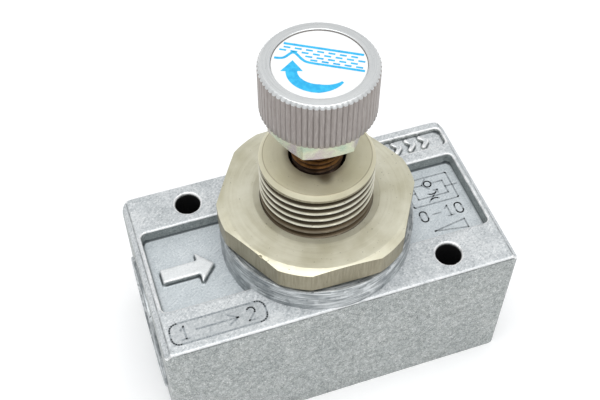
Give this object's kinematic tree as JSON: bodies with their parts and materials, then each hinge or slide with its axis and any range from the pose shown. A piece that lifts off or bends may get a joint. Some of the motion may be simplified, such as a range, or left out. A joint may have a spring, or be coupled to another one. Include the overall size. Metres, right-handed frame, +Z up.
{
  "type": "flow control valve",
  "caption": "In-line one-way flow control valve: ported cast body, threaded bonnet with panel nut, knurled knob on a threaded spindle with lock nut, internal check poppet.",
  "frame": {"origin": "middle of the body's underside, on the spindle axis", "axes": "+X is the controlled flow direction, from port 1 to port 2, as the raised arrow points; +Y is towards the back; +Z is up along the spindle axis"},
  "size_m": [0.0606, 0.032, 0.0658],
  "materials": {
    "valve_body": "die-cast zinc, tumbled, fine speckle",
    "seat_ring": "turned",
    "bonnet": "champagne anodised, turned",
    "bonnet_o_ring": "matt",
    "panel_nut": "champagne anodised, turned face",
    "throttle_spindle": "turned, threaded",
    "spindle_o_ring": "matt",
    "spindle_back_up_ring": "white fluoropolymer",
    "lock_nut": "zinc plated, slight iridescence",
    "adjusting_knob": "straight knurled, satin",
    "knob_screw": "machined",
    "knob_label": "white printed film",
    "check_poppet": "moulded acetal",
    "poppet_seal": "matt",
    "check_spring": "bright wire"
  },
  "bodies": {
    "body": {"valve_body": "valve_body", "seat_ring": "seat_ring", "bonnet": "bonnet", "bonnet_o_ring": "bonnet_o_ring"},
    "spindle_rings": {"spindle_o_ring": "spindle_o_ring", "spindle_back_up_ring": "spindle_back_up_ring"},
    "spindle": {"throttle_spindle": "throttle_spindle", "adjusting_knob": "adjusting_knob", "knob_screw": "knob_screw", "knob_label": "knob_label"},
    "lock_nut": {"lock_nut": "lock_nut"},
    "panel_nut": {"panel_nut": "panel_nut"},
    "check_poppet": {"check_poppet": "check_poppet", "poppet_seal": "poppet_seal", "check_spring": "check_spring"}
  },
  "joints": [
    {"name": "spindle_lift", "type": "slide", "parent": "body", "child": "spindle_rings", "axis": [0, 0, 1], "range_m": [-0.003, 0.002]},
    {"name": "spindle_turn", "type": "hinge", "parent": "spindle_rings", "child": "spindle", "pos_m": [0, 0, 0.0575], "axis": [0, 0, 1], "range_deg": [-1080, 720]},
    {"name": "lock_nut_travel", "type": "slide", "parent": "spindle", "child": "lock_nut", "axis": [0, 0, 1], "range_m": [-0.0028, 0]},
    {"name": "panel_nut_travel", "type": "slide", "parent": "body", "child": "panel_nut", "axis": [0, 0, 1], "range_m": [0, 0.008]},
    {"name": "check_valve_lift", "type": "slide", "parent": "body", "child": "check_poppet", "axis": [0, 0, 1], "range_m": [0, 0.0025], "stiffness_N_per_m": 300, "springref_m": -0.0024, "deforming": ["check_spring"]}
  ],
  "couplings": [
    {"joint": "spindle_turn", "follows": "spindle_lift", "rad_per_m": 6283.2}
  ]
}
